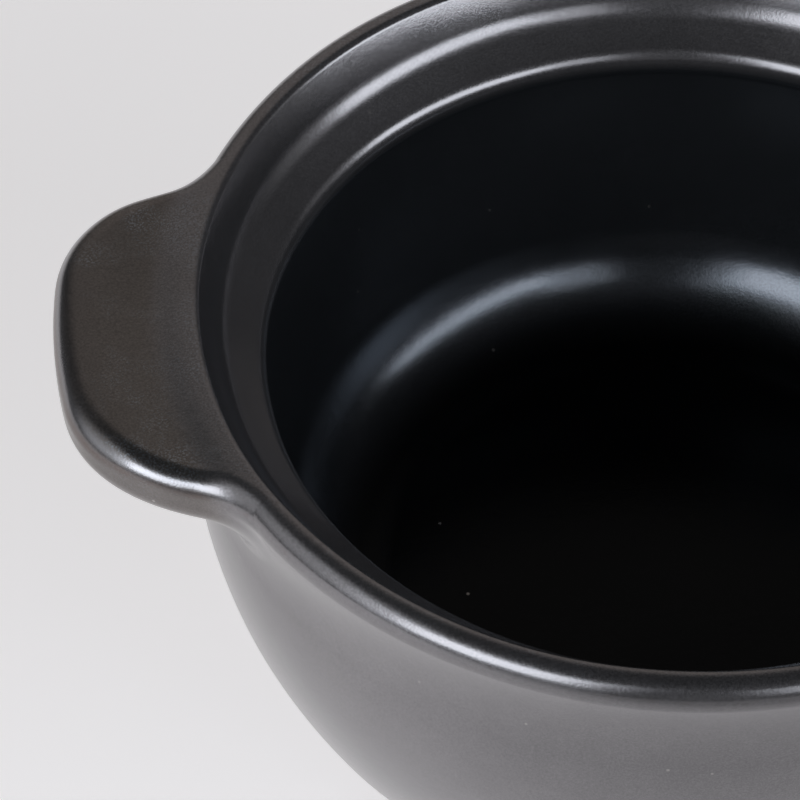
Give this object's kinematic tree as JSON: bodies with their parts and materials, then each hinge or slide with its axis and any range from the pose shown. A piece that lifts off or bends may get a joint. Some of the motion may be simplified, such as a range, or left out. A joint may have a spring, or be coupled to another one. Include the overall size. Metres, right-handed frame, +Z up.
{
  "type": "clay cooking pot",
  "caption": "Round black clay pot with a bellied wall, a sloping lid ledge inside a rolled rim, and two thick lug handles flush with the rim.",
  "frame": {"origin": "centre of the base, on the surface that the pot stands on", "axes": "+Z up along the pot's axis; the two handles lie along X"},
  "size_m": [0.2484, 0.2028, 0.0981],
  "materials": {
    "black_clay_bowl": "satin",
    "black_clay_rim": "satin",
    "black_clay_handle": "satin"
  },
  "bodies": {
    "root": {"base_slab": "black_clay_bowl", "lower_wall": "black_clay_bowl", "belly_wall": "black_clay_bowl", "shoulder_wall": "black_clay_bowl", "lid_ledge": "black_clay_rim", "rim_coil": "black_clay_rim", "left_handle": "black_clay_handle", "right_handle": "black_clay_handle"}
  },
  "joints": []
}
